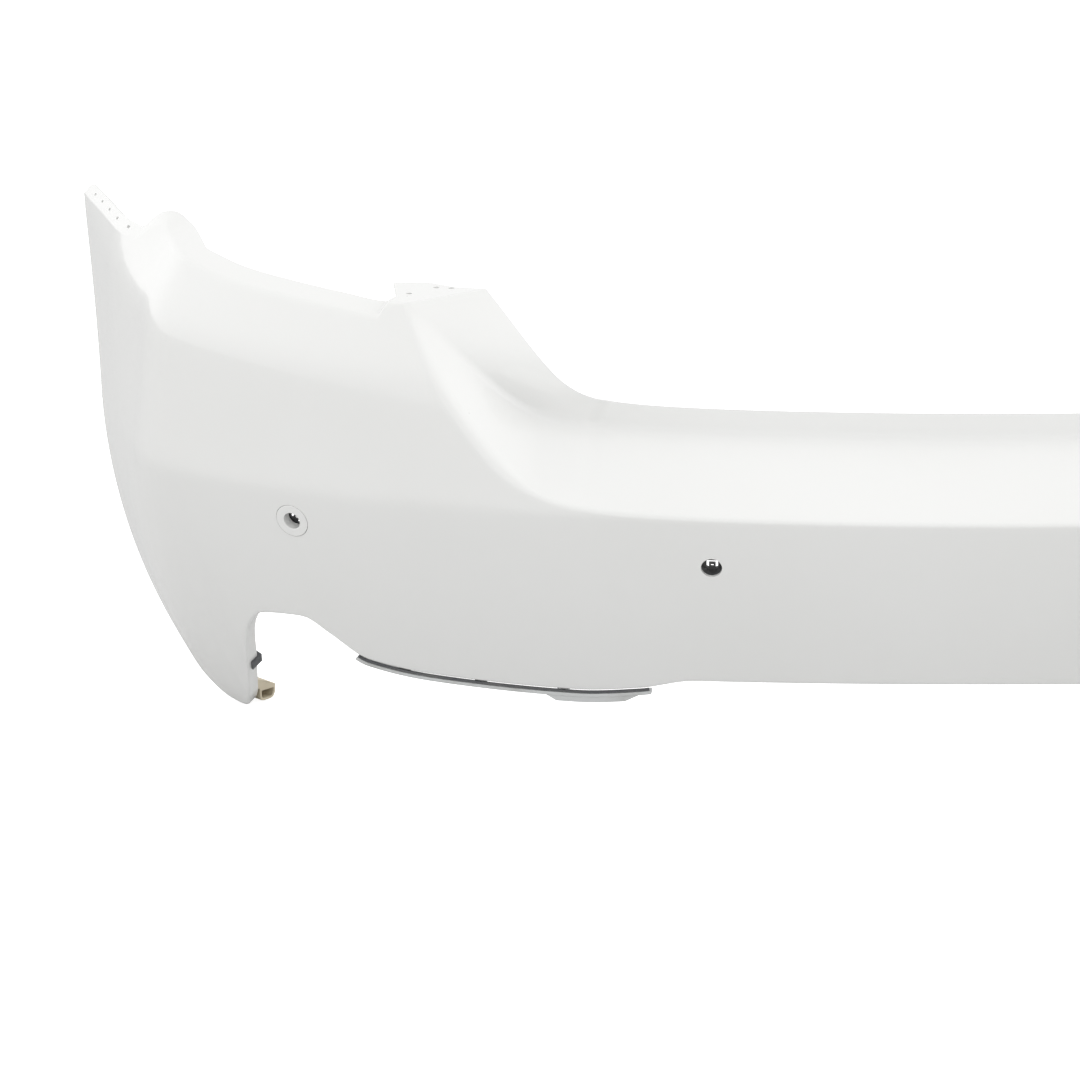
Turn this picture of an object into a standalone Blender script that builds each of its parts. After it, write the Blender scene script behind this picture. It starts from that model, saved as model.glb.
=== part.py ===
"""Rear bumper cover of a passenger car: a painted moulded skin with its clipped and bonded parts.

Metres, +Z up. Looking along +Y is looking at the back of the car, so +Y is the driving direction.
The origin is the centre of the bounding box's base.
"""

import math

import bmesh
import bpy
import numpy as np
from mathutils import Matrix, Vector

# ---------------------------------------------------------------- driving dimensions
SHIFT = Vector((0.0, -0.2984, -0.0681))  # from the shape's datum to the origin

WALL = 0.0030               # moulding thickness
CREASE_Z = 0.349            # height of the crease at the centre line, above the datum
CREASE_RISE = 1.35          # slope of the crease where it climbs beside the tailgate
CREASE_KNEE = 0.440         # distance along the rear at which that climb starts
FACE_TILT = math.radians(12)    # the face leans in below the crease
FACE_CURVE = 0.62           # and curves in further by this much per metre squared
WING_CURVE = 1.08           # the wings have no tilt, and only curve in by this much per metre squared
SHOULDER_LEAN = 0.55        # slope of the band below the lamp seat
CORNER_S = 0.845            # distance from the centre line to the middle of the rear corner
CORNER_TURN = 31.0          # degrees that the corner turns
WING_TURN = 10.0            # degrees per metre along the wing
LEDGE_DEPTH = 0.108         # crease to the foot of the tailgate wall
FOOT_Z = 0.398              # foot of that wall
RIM_Z = 0.423               # top of that wall
PLATE_Z = 0.527             # the flat plate between the lamp and the tailgate
SEAM_Z = 0.5385             # edge of the skin under the body side
TIP_Z = 0.5350              # and at the end of that edge, over the wheel
LAMP_FLANGE = 0.026         # width of the flange that the lamp sits over
LAMP_STEP = 0.0085          # and its rise
SEAM_IN = 0.0090            # the strip along the body side goes in by this much
SEAM_UP = 0.0125            # and up by this much
LIP = 0.014                 # return flange round the lower and arch edges
ARCH_Y = 0.880              # centre of the arch edge, ahead of the crease
ARCH_Z = 0.150
ARCH_R = 0.480

SENSOR_BORE_R = 0.00975
RING_BORE_R = 0.0170
RING_R = 0.01665
SENSORS = {"inner": (0.264, 0.300), "outer": (0.673, 0.316)}

FLAP_S = 0.430              # centre of the tow-eye flap, on the right half
FLAP_Z = 0.262
FLAP_W = 0.070
FLAP_H = 0.060
FLAP_GAP = 0.0010

# the lower edge of the skin, from the centre line to the foot of the wing: distance, height
LOWER_EDGE = [
    (0.000, 0.173),
    (0.280, 0.171),
    (0.335, 0.160),
    (0.400, 0.154),
    (0.550, 0.158),
    (0.620, 0.167),
    (0.655, 0.190),
    (0.685, 0.207),
    (0.735, 0.203),
    (0.760, 0.186),
    (0.800, 0.132),
    (0.850, 0.080),
    (0.870, 0.068),
    (0.895, 0.070),
    (0.960, 0.092),
]

# the upper edge outboard of the plate, under the lamp and along the body side: distance, height
UPPER_EDGE = [
    (0.586, 0.527),
    (0.594, 0.515),
    (0.640, 0.5195),
    (0.700, 0.5255),
    (0.760, 0.5320),
    (0.820, 0.5425),
    (0.880, 0.5490),
    (0.920, 0.5550),
    (0.942, 0.5635),
    (0.952, 0.5600),
    (0.968, 0.5480),
    (0.980, SEAM_Z),
    (1.100, SEAM_Z),
    (1.260, TIP_Z),
    (1.400, TIP_Z),
]

# ---------------------------------------------------------------- clear the scene
for old in list(bpy.data.objects):
    bpy.data.objects.remove(old, do_unlink=True)

cover = bpy.data.collections.new("bumper_cover")
bpy.context.scene.collection.children.link(cover)
cutters = bpy.data.collections.new("cutters")
bpy.context.scene.collection.children.link(cutters)
cutters.hide_render = True


# ---------------------------------------------------------------- the cover's surface
def ease(t):
    t = np.clip(t, 0.0, 1.0)
    return t * t * (3.0 - 2.0 * t)


def knee(t, r):
    """Zero well before t = 0 and t well after it, with a rounded turn of size r."""
    return (t + math.sqrt(t * t + r * r)) / 2.0


STEPS = np.linspace(0.0, 1.45, 581)


def plan_line(z):
    """The outline of the cover in plan at height z: x, y and heading along the left half."""
    before = np.minimum(STEPS, CORNER_S)
    after = np.maximum(STEPS - CORNER_S, 0.0)
    width = 0.30 - 0.22 * ease((z - 0.05) / 0.40)
    turn = CORNER_TURN * ease((STEPS - CORNER_S + width / 2) / width)
    heading = np.radians(20 * before + 40 * before**3 + WING_TURN * after + turn)
    gap = STEPS[1] - STEPS[0]
    dx = -np.cos(heading)
    dy = np.sin(heading)
    x = np.concatenate([[0.0], np.cumsum((dx[1:] + dx[:-1]) / 2) * gap])
    y = np.concatenate([[0.0], np.cumsum((dy[1:] + dy[:-1]) / 2) * gap])
    return x, y, heading


def inset(s, z):
    """How far the skin leans in from the outline at height z."""
    down = max(CREASE_Z - z, 0.0)
    up = max(z - CREASE_Z, 0.0)
    low = down * math.tan(FACE_TILT) + FACE_CURVE * down * down
    low += float(ease((s - 0.80) / 0.15)) * (WING_CURVE * down * down - low)
    fade = 1.0 - 0.55 * float(ease((s - 0.90) / 0.15))
    shoulder_z = 0.409 + 0.10 * s
    return low + fade * (0.08 * up + SHOULDER_LEAN * knee(z - shoulder_z, 0.012))


def skin(s, z):
    """Point of the outer skin at distance s along the rear and height z, on the left half."""
    x, y, heading = plan_line(z)
    h = float(np.interp(s, STEPS, heading))
    d = inset(s, z)
    px = float(np.interp(s, STEPS, x)) + d * math.sin(h)
    py = float(np.interp(s, STEPS, y)) + d * math.cos(h)
    return Vector((px, py, z))


def inward(s, z):
    """The skin's normal there, pointing into the car."""
    e = 0.004
    along = skin(s + e, z) - skin(s - e, z)
    rise = skin(s, z + e) - skin(s, z - e)
    return along.cross(rise).normalized()


def crease_z(s):
    climb = knee(s - CREASE_KNEE, 0.039) - knee(-CREASE_KNEE, 0.039)
    return CREASE_Z + CREASE_RISE * climb


def curve(s, stations):
    """A smooth line through the stations, without overshoot."""
    xs = [p[0] for p in stations]
    ys = [p[1] for p in stations]
    slopes = [(ys[i + 1] - ys[i]) / (xs[i + 1] - xs[i]) for i in range(len(xs) - 1)]

    def tangent(i):
        if i == 0 or i == len(xs) - 1 or slopes[i - 1] * slopes[i] <= 0:
            return 0.0
        return 2 * slopes[i - 1] * slopes[i] / (slopes[i - 1] + slopes[i])

    k = min(max(int(np.searchsorted(xs, s)) - 1, 0), len(xs) - 2)
    w = xs[k + 1] - xs[k]
    t = min(max((s - xs[k]) / w, 0.0), 1.0)
    value = ys[k] * (1 + 2 * t) * (1 - t) ** 2 + ys[k + 1] * t * t * (3 - 2 * t)
    return value + w * (tangent(k) * t * (1 - t) ** 2 - tangent(k + 1) * t * t * (1 - t))


def lower_z(s):
    return curve(s, LOWER_EDGE)


def upper_z(s):
    return curve(s, UPPER_EDGE)


def arch_s(z):
    """Distance along the skin to the wheel arch at height z."""
    edge = ARCH_Y - math.sqrt(ARCH_R**2 - (z - ARCH_Z) ** 2)
    low, high = 0.85, 1.40
    for _ in range(30):
        middle = (low + high) / 2
        if skin(middle, z).y < edge:
            low = middle
        else:
            high = middle
    return low


def where_reaches(height, start, target):
    s = start
    while height(s) < target:
        s += 0.0002
    return s


PEAK_S = where_reaches(crease_z, CREASE_KNEE, PLATE_Z)


def foot_z(x):
    return FOOT_Z + 1.2 * (knee(x - 0.435, 0.040) - knee(-0.435, 0.040))


def rim_z(x):
    return RIM_Z + 1.3 * (knee(x - 0.393, 0.030) - knee(-0.393, 0.030))


FOOT_X = where_reaches(foot_z, 0.435, PLATE_Z)
RIM_X = where_reaches(rim_z, 0.393, PLATE_Z)


def crease_y(x):
    plan_x, plan_y, _ = plan_line(CREASE_Z)
    return float(np.interp(x, -plan_x, plan_y))


def foot(g):
    """Foot of the tailgate wall, from the centre line at 0 to the plate at 1."""
    x = FOOT_X * g
    y = crease_y(x) + LEDGE_DEPTH - 0.050 * float(ease((x - 0.42) / 0.12))
    return Vector((-x, y, PLATE_Z if g >= 1 else foot_z(x)))


def rim(g):
    """Top of the tailgate wall, along the same parameter."""
    x = FOOT_X * g - (FOOT_X - RIM_X) * float(ease((g - 0.55) / 0.45))
    y = crease_y(x) + LEDGE_DEPTH + 0.004 + 0.020 * float(ease((x - 0.38) / 0.085))
    return Vector((-x, y, PLATE_Z if g >= 1 else rim_z(x)))


# ---------------------------------------------------------------- builders
def material(name, colour, roughness, metallic=0.0, coat=0.0):
    found = bpy.data.materials.new(name)
    found.use_nodes = True
    shader = found.node_tree.nodes["Principled BSDF"]
    shader.inputs["Base Color"].default_value = (*colour, 1.0)
    shader.inputs["Roughness"].default_value = roughness
    shader.inputs["Metallic"].default_value = metallic
    shader.inputs["Coat Weight"].default_value = coat
    return found


def add(name, mesh, collection, place=None, look=None):
    """Object from a bmesh, in a collection, with its material."""
    data = bpy.data.meshes.new(name)
    mesh.to_mesh(data)
    mesh.free()
    made = bpy.data.objects.new(name, data)
    if place is not None:
        made.matrix_world = place
    if look is not None:
        data.materials.append(look)
    collection.objects.link(made)
    if collection is cutters:
        made.hide_render = True
        made.display_type = "WIRE"
    return made


def boolean(target, cutter, operation):
    modifier = target.modifiers.new(operation.lower() + "_" + cutter.name, "BOOLEAN")
    modifier.operation = operation
    modifier.object = cutter
    modifier.solver = "EXACT"


def box(size, centre=(0, 0, 0)):
    mesh = bmesh.new()
    place = Matrix.Translation(centre) @ Matrix.Diagonal((*size, 1.0))
    bmesh.ops.create_cube(mesh, size=1.0, matrix=place)
    return mesh


def cylinder(radius, low, high, sides=32):
    mesh = bmesh.new()
    place = Matrix.Translation((0, 0, (low + high) / 2))
    bmesh.ops.create_cone(
        mesh, cap_ends=True, segments=sides, radius1=radius, radius2=radius, depth=high - low, matrix=place
    )
    return mesh


def tube(profile, sides=32):
    """Solid of revolution about local Z, from a closed outline of (radius, height)."""
    mesh = bmesh.new()
    verts = [mesh.verts.new((r, 0, h)) for r, h in profile]
    edges = [mesh.edges.new((verts[i], verts[(i + 1) % len(verts)])) for i in range(len(verts))]
    bmesh.ops.spin(
        mesh, geom=verts + edges, cent=(0, 0, 0), axis=(0, 0, 1), angle=math.tau, steps=sides, use_merge=True
    )
    bmesh.ops.remove_doubles(mesh, verts=mesh.verts, dist=1e-6)
    bmesh.ops.recalc_face_normals(mesh, faces=mesh.faces)
    return mesh


def frame_at(s, z, side, depth=0.0):
    """Local axes on the skin: X to the right, Y up, Z out of the face. side is -1 left, +1 right."""
    point = skin(s, z)
    out = inward(s, z) * -1.0
    across = skin(s + 0.004, z) - skin(s - 0.004, z)
    if side > 0:
        point.x *= -1
        out.x *= -1
        across.x *= -1
    across = across.normalized() * side
    across = (across - out * across.dot(out)).normalized()
    up = out.cross(across).normalized()
    place = Matrix((across, up, out)).transposed().to_4x4()
    place.translation = point + SHIFT - out * depth
    return place


def quad(mesh, *corners):
    kept = []
    for corner in corners:
        if corner not in kept:
            kept.append(corner)
    if len(kept) > 2:
        mesh.faces.new(kept)


paint = material("white_paint", (0.80, 0.80, 0.78), 0.22, coat=0.6)
dark_plastic = material("dark_plastic", (0.06, 0.06, 0.065), 0.55)
grey_plastic = material("grey_plastic", (0.42, 0.43, 0.43), 0.45)
cream_plastic = material("cream_plastic", (0.62, 0.55, 0.42), 0.50)
steel = material("zinc_steel", (0.55, 0.55, 0.56), 0.35, metallic=1.0)

# ---------------------------------------------------------------- cover skin
# One moulding: the face and wings, the ledge and wall under the tailgate, the lamp flange with
# its plate, the seam strips, and a return lip round the lower and arch edges.
INNER_G = [0.0, 0.09, 0.18, 0.27, 0.36, 0.44, 0.52, 0.59, 0.65, 0.70, 0.75, 0.80, 0.85, 0.90, 0.95, 1.0]
REAR_S = [0.575, 0.586, 0.594, 0.615, 0.635, 0.655, 0.670, 0.685, 0.710, 0.735, 0.755, 0.775, 0.800]
FAN = [0.05, 0.10, 0.15, 0.20, 0.24, 0.27, 0.30, 0.33, 0.36, 0.39, 0.46, 0.56, 0.70, 0.85, 1.0]
ROWS = 12
PEAK = len(INNER_G) - 1

mesh = bmesh.new()


def vertex(point):
    return mesh.verts.new(point + SHIFT)


columns = []
for g in INNER_G:
    s = g * PEAK_S
    columns.append((s, s, lower_z(s), crease_z(s) if g < 1 else PLATE_Z, 0.0))
for s in REAR_S:
    columns.append((s, s, lower_z(s), upper_z(s), 0.0))
foot_s = arch_s(0.092)
top_s = arch_s(TIP_Z)
for w in FAN:
    low_s = 0.800 + w * (foot_s - 0.800)
    high_s = 0.800 + w * (top_s - 0.800)
    low_z = lower_z(min(low_s, 0.960))
    columns.append((low_s, high_s, low_z, upper_z(high_s), w))

body = []
place_of = []
for low_s, high_s, low_z, high_z, w in columns:
    line = []
    where = []
    for row in range(ROWS + 1):
        v = row / ROWS
        z = low_z + v * (high_z - low_z)
        s = low_s
        if w > 0:
            s = 0.800 + w * (arch_s(z) - 0.800)
        where.append((s, z))
        line.append(vertex(skin(s, z)))
    body.append(line)
    place_of.append(where)

for i in range(len(body) - 1):
    for j in range(ROWS):
        quad(mesh, body[i][j], body[i + 1][j], body[i + 1][j + 1], body[i][j + 1])

# ledge and tailgate wall
upper = []
for i, g in enumerate(INNER_G):
    start = skin(g * PEAK_S, columns[i][3])
    low = foot(g)
    high = rim(g)
    line = [body[i][ROWS]]
    for t in (1 / 3, 2 / 3, 1.0):
        line.append(vertex(start.lerp(low, t)))
    for t in (0.5, 1.0):
        line.append(vertex(low.lerp(high, t)))
    upper.append(line)
for i in range(PEAK):
    for j in range(5):
        quad(mesh, upper[i][j], upper[i + 1][j], upper[i + 1][j + 1], upper[i][j + 1])

# lamp flange, then the seam strip: one strip of faces along the top edge
PLATE_END = PEAK + 2
flange = {}
for i in range(PLATE_END, len(body)):
    s, z = place_of[i][ROWS]
    seam = float(ease((s - 0.936) / 0.030))
    step = LAMP_STEP if i > PLATE_END else 0.0
    into = inward(s, z)
    into.z = 0.0
    into.normalize()
    wide = LAMP_FLANGE * (1 - seam) + SEAM_IN * seam
    rise = step * (1 - seam) + SEAM_UP * seam
    flange[i] = vertex(skin(s, z) + into * wide + Vector((0, 0, rise)))
for i in range(PLATE_END, len(body) - 1):
    quad(mesh, body[i][ROWS], body[i + 1][ROWS], flange[i + 1], flange[i])

# plate with three holes, between the lamp and the tailgate
plate = [body[i][ROWS] for i in range(PLATE_END, PEAK, -1)] + upper[PEAK]
corner = rim(1.0)
for dx, dy in ((-0.029, 0.007), (-0.0545, 0.026), (-0.0885, 0.026)):
    plate.append(vertex(corner + Vector((dx, dy, 0))))
plate.append(flange[PLATE_END])
mesh.faces.new(plate)

# return lip
edge = [(i, 0) for i in range(len(body))] + [(len(body) - 1, j) for j in range(1, ROWS)]
lip = []
for i, j in edge:
    s, z = place_of[i][j]
    into = inward(s, z)
    if i == 0:
        into.x = 0.0
    lip.append(vertex(skin(s, z) + into * LIP))
for k in range(len(edge) - 1):
    i, j = edge[k]
    a, b = edge[k + 1]
    quad(mesh, body[i][j], lip[k], lip[k + 1], body[a][b])

bmesh.ops.recalc_face_normals(mesh, faces=mesh.faces)
mesh.faces.ensure_lookup_table()
if mesh.faces[0].normal.y > 0:
    bmesh.ops.reverse_faces(mesh, faces=mesh.faces)
cover_skin = add("cover_skin", mesh, cover, look=paint)

mirror = cover_skin.modifiers.new("mirror", "MIRROR")
mirror.use_axis = (True, False, False)
mirror.use_mirror_merge = True
mirror.merge_threshold = 0.0001
shell = cover_skin.modifiers.new("wall", "SOLIDIFY")
shell.thickness = WALL
shell.offset = -1.0
shell.use_even_offset = True

# slots in the seam strips, and the three holes in each plate
SLOT_W = 0.0070
SLOT_H = 0.0028
for side, word in ((-1, "left"), (1, "right")):
    for n in range(5):
        s = 1.010 + 0.045 * n
        at = skin(s, upper_z(s))
        ahead = (skin(s + 0.01, upper_z(s)) - at).normalized()
        into = inward(s, upper_z(s))
        into.z = 0.0
        across = into.normalized() * SEAM_IN + Vector((0, 0, SEAM_UP))
        at = at + across * 0.5
        across.normalize()
        out = across.cross(ahead).normalized()
        place = Matrix((ahead, across, out)).transposed().to_4x4()
        place.translation = at + SHIFT
        if side > 0:
            place = Matrix.Diagonal((-1, 1, 1, 1)) @ place @ Matrix.Diagonal((-1, 1, 1, 1))
        slot = add(f"cut_slot_{word}_{n}", box((SLOT_W, SLOT_H, 0.020)), cutters, place)
        boolean(cover_skin, slot, "DIFFERENCE")
    for n, (dx, dy) in enumerate(((-0.072, -0.020), (-0.047, 0.005), (-0.033, 0.002))):
        at = corner + Vector((dx, dy, 0)) + SHIFT
        at.x *= -side
        hole = add(f"cut_plate_{word}_{n}", cylinder(0.0030, -0.01, 0.01, 16), cutters, Matrix.Translation(at))
        boolean(cover_skin, hole, "DIFFERENCE")

# ---------------------------------------------------------------- parking sensor fittings
# Each sensor place has a holder bonded behind the skin. The outer ones also have a painted ring
# that fills a larger hole. The sensors themselves are not part of the cover.
for side, word in ((-1, "left"), (1, "right")):
    for which, (s, z) in SENSORS.items():
        place = frame_at(s, z, side)
        radius = SENSOR_BORE_R if which == "inner" else RING_BORE_R
        bore = add(f"cut_sensor_{which}_{word}", cylinder(radius, -0.02, 0.02, 40), cutters, place)
        boolean(cover_skin, bore, "DIFFERENCE")

        wide = 0.0100 if which == "inner" else 0.0120
        outline = [
            (wide, -0.0040),
            (wide + 0.0080, -0.0040),
            (wide + 0.0080, -0.0062),
            (wide + 0.0030, -0.0062),
            (wide + 0.0030, -0.0180),
            (wide, -0.0180),
        ]
        holder = add(f"sensor_holder_{which}_{word}", tube(outline), cover, place, dark_plastic)
        disc = add(f"add_back_{which}_{word}", cylinder(wide + 0.0015, -0.0150, -0.0130), cutters, place)
        boolean(holder, disc, "UNION")
        turn = 0.0 if which == "inner" else side * math.radians(38)
        turned = place @ Matrix.Rotation(turn, 4, "Z")
        gaps = {
            "left": box((0.0022, 0.0080, 0.006), (-0.0042, -0.0042, -0.0140)),
            "right": box((0.0022, 0.0080, 0.006), (0.0042, -0.0042, -0.0140)),
            "top": box((0.0106, 0.0022, 0.006), (0.0, -0.0011, -0.0140)),
            "window": box((0.0026, 0.0022, 0.006), (0.0, -0.0052, -0.0140)),
        }
        for gap, shape in gaps.items():
            cut = add(f"cut_latch_{gap}_{which}_{word}", shape, cutters, turned)
            boolean(holder, cut, "DIFFERENCE")

        if which == "outer":
            outline = [
                (0.0085, 0.0000),
                (0.0090, 0.0004),
                (0.0162, 0.0004),
                (RING_R, 0.0000),
                (RING_R, -0.0030),
                (0.0114, -0.0030),
                (0.0114, -0.0095),
                (0.0085, -0.0095),
            ]
            add(f"sensor_ring_{word}", tube(outline), cover, place, paint)

# ---------------------------------------------------------------- lower rail
# A loose strip under the skin's lower edge on each side, with a tab that hangs below it.
RAIL_GAP = 0.0026
RAIL_H = 0.0046
TAB_H = 0.0050


def rail_section(s, side, top, bottom, front, back):
    z = lower_z(s)
    into = inward(s, z)
    into.z = 0.0
    into.normalize()
    corners = []
    for depth, drop in ((front, top), (back, top), (back, bottom), (front, bottom)):
        point = skin(s, z) + into * depth - Vector((0, 0, drop))
        corners.append(Vector((point.x * -side, point.y, point.z)) + SHIFT)
    return corners


def loft(sections):
    """Closed solid through a row of outlines with the same number of corners."""
    mesh = bmesh.new()
    rings = [[mesh.verts.new(p) for p in section] for section in sections]
    count = len(rings[0])
    for a, b in zip(rings, rings[1:]):
        for k in range(count):
            m = (k + 1) % count
            mesh.faces.new((a[k], b[k], b[m], a[m]))
    mesh.faces.new(rings[0])
    mesh.faces.new(rings[-1])
    bmesh.ops.recalc_face_normals(mesh, faces=mesh.faces)
    return mesh


for side, word in ((-1, "left"), (1, "right")):
    run = [0.322 + 0.024 * n for n in range(14)]
    sections = []
    for s in run:
        thin = float(ease((0.634 - s) / 0.05) * ease((s - 0.318) / 0.02))
        sections.append(rail_section(s, side, RAIL_GAP, RAIL_GAP + 0.0012 + (RAIL_H - 0.0012) * thin, 0.0012, 0.0120))
    rail = add(f"lower_rail_{word}", loft(sections), cover, look=grey_plastic)
    sections = []
    for s, drop in ((0.337, 0.1), (0.352, 1.0), (0.376, 1.0), (0.400, 1.0), (0.422, 1.0), (0.430, 0.1)):
        sections.append(rail_section(s, side, RAIL_GAP + 0.0020, RAIL_GAP + RAIL_H + TAB_H * drop, 0.0018, 0.0050))
    tab = add(f"add_tab_{word}", loft(sections), cutters)
    boolean(rail, tab, "UNION")


# ---------------------------------------------------------------- clips on the return lip
def lip_frame(k, side):
    """Axes at the middle of a face of the lip: X inwards, Y along the edge, Z through its wall."""
    i, j = edge[k]
    a, b = edge[k + 1]
    p0, p1 = skin(*place_of[i][j]), skin(*place_of[a][b])
    q0 = p0 + inward(*place_of[i][j]) * LIP
    q1 = p1 + inward(*place_of[a][b]) * LIP
    x = ((q0 + q1) - (p0 + p1)).normalized()
    y = p1 - p0
    y = (y - x * y.dot(x)).normalized()
    z = x.cross(y)
    origin = (p0 + p1) / 2 + SHIFT
    if j == b == 0 and z.dot(Vector((0, 0, 1))) < 0 or j != b and z.y > 0:
        y *= -1
        z *= -1
    place = Matrix((x, y, z)).transposed().to_4x4()
    place.translation = origin
    if side > 0:
        place = Matrix.Diagonal((-1, 1, 1, 1)) @ place @ Matrix.Diagonal((1, -1, 1, 1))
    return place


def lip_clip(name, k, side, low, long, look):
    """U-shaped clip over the lip's free edge. low is how far it reaches below the lip."""
    place = lip_frame(k, side)
    high = 0.0058
    body_mesh = box((0.0140, long, high + low), (0.0115, 0.0, (high - low) / 2))
    clip = add(name, body_mesh, cover, place, look)
    slot = add("cut_" + name, box((0.0160, long * 2, 0.0042), (0.0150 - 0.0080, 0.0, 0.0015)), cutters, place)
    boolean(clip, slot, "DIFFERENCE")
    return clip


def face_of(s):
    """Index of the lip's face that spans distance s on the lower edge."""
    for k in range(len(body) - 1):
        if place_of[k][0][0] <= s < place_of[k + 1][0][0]:
            return k
    return len(body) - 2


for side, word in ((-1, "left"), (1, "right")):
    for n, s in enumerate((0.410, 0.494, 0.577), 1):
        lip_clip(f"rail_clip_{word}_{n}", face_of(s), side, 0.0030, 0.012, dark_plastic)
    lip_clip(f"leg_clip_{word}", face_of(0.803), side, 0.0026, 0.012, dark_plastic)
    for n, j in enumerate((1, 4, 8), 1):
        lip_clip(f"arch_clip_{word}_{n}", len(body) - 1 + j, side, 0.0026, 0.014, steel)

# ---------------------------------------------------------------- wing brackets
# A natural-plastic bracket inside the foot of each wing, with a cup that is open to the rear.
BRACKET_S = 0.877
for side, word in ((-1, "left"), (1, "right")):
    centre = skin(BRACKET_S, 0.085)
    across = inward(BRACKET_S, 0.085)
    across.z = 0.0
    across.normalize()
    ahead = (skin(BRACKET_S + 0.01, 0.085) - skin(BRACKET_S - 0.01, 0.085)).normalized()
    ahead.z = 0.0
    ahead = (ahead - across * ahead.dot(across)).normalized()

    def base(z):
        return (skin(BRACKET_S, z) + inward(BRACKET_S, z) * 0.0052 - centre).dot(across)

    def prism(outline, low, high):
        sections = []
        for along in (low, high):
            points = [centre + across * h + ahead * along for h, _ in outline]
            section = [Vector((p.x, p.y, z)) + SHIFT for p, (_, z) in zip(points, outline)]
            for p in section:
                p.x *= -side
            sections.append(section)
        return loft(sections)

    outline = [
        (base(0.1080), 0.1080),
        (base(0.0860), 0.0860),
        (0.0236, 0.0845),
        (0.0238, 0.0740),
        (0.0258, 0.0712),
        (0.0290, 0.0705),
        (0.0376, 0.0705),
        (0.0414, 0.0718),
        (0.0438, 0.0760),
        (0.0442, 0.0850),
    ]
    bracket = add(f"wing_bracket_{word}", prism(outline, -0.015, 0.015), cover, look=cream_plastic)
    cup = [(0.0258, 0.0815), (0.0260, 0.0750), (0.0280, 0.0730), (0.0394, 0.0730), (0.0416, 0.0765), (0.0420, 0.0815)]
    cut = add(f"cut_cup_{word}", prism(cup, -0.020, 0.009), cutters)
    boolean(bracket, cut, "DIFFERENCE")

# ---------------------------------------------------------------- tow-eye flap
# On the right half: a painted flap that swings up about a steel pin along its upper edge. The pin
# sits in two ears of a frame that is bonded behind the skin, and the frame stops the flap.
AXIS_Y = FLAP_H / 2 - 0.0024
AXIS_DEPTH = 0.0031
BARREL_R = 0.0022
PIN_R = 0.0010
centre_frame = frame_at(FLAP_S, FLAP_Z, 1)
hinge = centre_frame @ Matrix.Translation((0, AXIS_Y, -AXIS_DEPTH))
to_hinge = hinge.inverted()


def patch(half_w, low, high, outer, inner, count=7):
    """A piece of the skin's own shape between two depths, in the hinge's axes."""
    mesh = bmesh.new()
    layers = []
    for depth in (outer, inner):
        grid = []
        for a in range(count):
            row = []
            for b in range(count):
                s = FLAP_S + half_w * (2 * a / (count - 1) - 1)
                z = FLAP_Z + (low + (high - low) * b / (count - 1)) * math.cos(FACE_TILT)
                point = skin(s, z) + inward(s, z) * depth
                point.x *= -1
                row.append(mesh.verts.new(to_hinge @ (point + SHIFT)))
            grid.append(row)
        layers.append(grid)
    top, under = layers
    for a in range(count - 1):
        for b in range(count - 1):
            mesh.faces.new((top[a][b], top[a + 1][b], top[a + 1][b + 1], top[a][b + 1]))
            mesh.faces.new((under[a][b], under[a][b + 1], under[a + 1][b + 1], under[a + 1][b]))
    last = count - 1
    for a in range(last):
        mesh.faces.new((top[a][0], under[a][0], under[a + 1][0], top[a + 1][0]))
        mesh.faces.new((top[a][last], top[a + 1][last], under[a + 1][last], under[a][last]))
        mesh.faces.new((top[0][a], top[0][a + 1], under[0][a + 1], under[0][a]))
        mesh.faces.new((top[last][a], under[last][a], under[last][a + 1], top[last][a + 1]))
    bmesh.ops.recalc_face_normals(mesh, faces=mesh.faces)
    return mesh


def rounded_box(half_w, low, high, radius, depth, square_top=False):
    """Box through the skin with rounded corners, in the hinge's axes."""
    mesh = box((2 * half_w, high - low, depth), (0, (low + high) / 2, 0))
    corners = [e for e in mesh.edges if abs(e.verts[0].co.z - e.verts[1].co.z) > depth / 2]
    if square_top:
        corners = [e for e in corners if e.verts[0].co.y < (low + high) / 2]
    bmesh.ops.bevel(mesh, geom=corners, offset=radius, segments=5, affect="EDGES", profile=0.5)
    return mesh


def along_axis(radius, half, sides=24):
    mesh = cylinder(radius, -half, half, sides)
    bmesh.ops.rotate(mesh, verts=mesh.verts, cent=(0, 0, 0), matrix=Matrix.Rotation(math.radians(90), 3, "Y"))
    return mesh


low_y = -FLAP_H / 2 - AXIS_Y
high_y = FLAP_H / 2 - AXIS_Y
opening = add(
    "cut_flap_opening",
    rounded_box(FLAP_W / 2 + FLAP_GAP, low_y - FLAP_GAP, high_y + FLAP_GAP, 0.009, 0.03, True),
    cutters,
    hinge,
)
boolean(cover_skin, opening, "DIFFERENCE")
for side in (-1, 1):
    notch = add(
        f"cut_flap_notch_{'left' if side < 0 else 'right'}",
        box((0.0070, 0.0066, 0.03), (side * 0.0380, 0, 0)),
        cutters,
        hinge,
    )
    boolean(cover_skin, notch, "DIFFERENCE")

tow_flap = add("tow_flap", patch(0.042, -0.037, 0.036, 0.0003, 0.0030), cover, hinge, paint)
trim = add("trim_flap", rounded_box(FLAP_W / 2, low_y, 0.0002, 0.008, 0.03, True), cutters, hinge)
boolean(tow_flap, trim, "INTERSECT")
barrel = add("add_flap_barrel", along_axis(BARREL_R, 0.0300), cutters, hinge)
boolean(tow_flap, barrel, "UNION")
pin_hole = add("cut_flap_pin", along_axis(PIN_R + 0.00006, 0.05), cutters, hinge)
boolean(tow_flap, pin_hole, "DIFFERENCE")
add("tow_flap_pin", along_axis(PIN_R, 0.0404), cover, hinge, steel)

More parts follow.
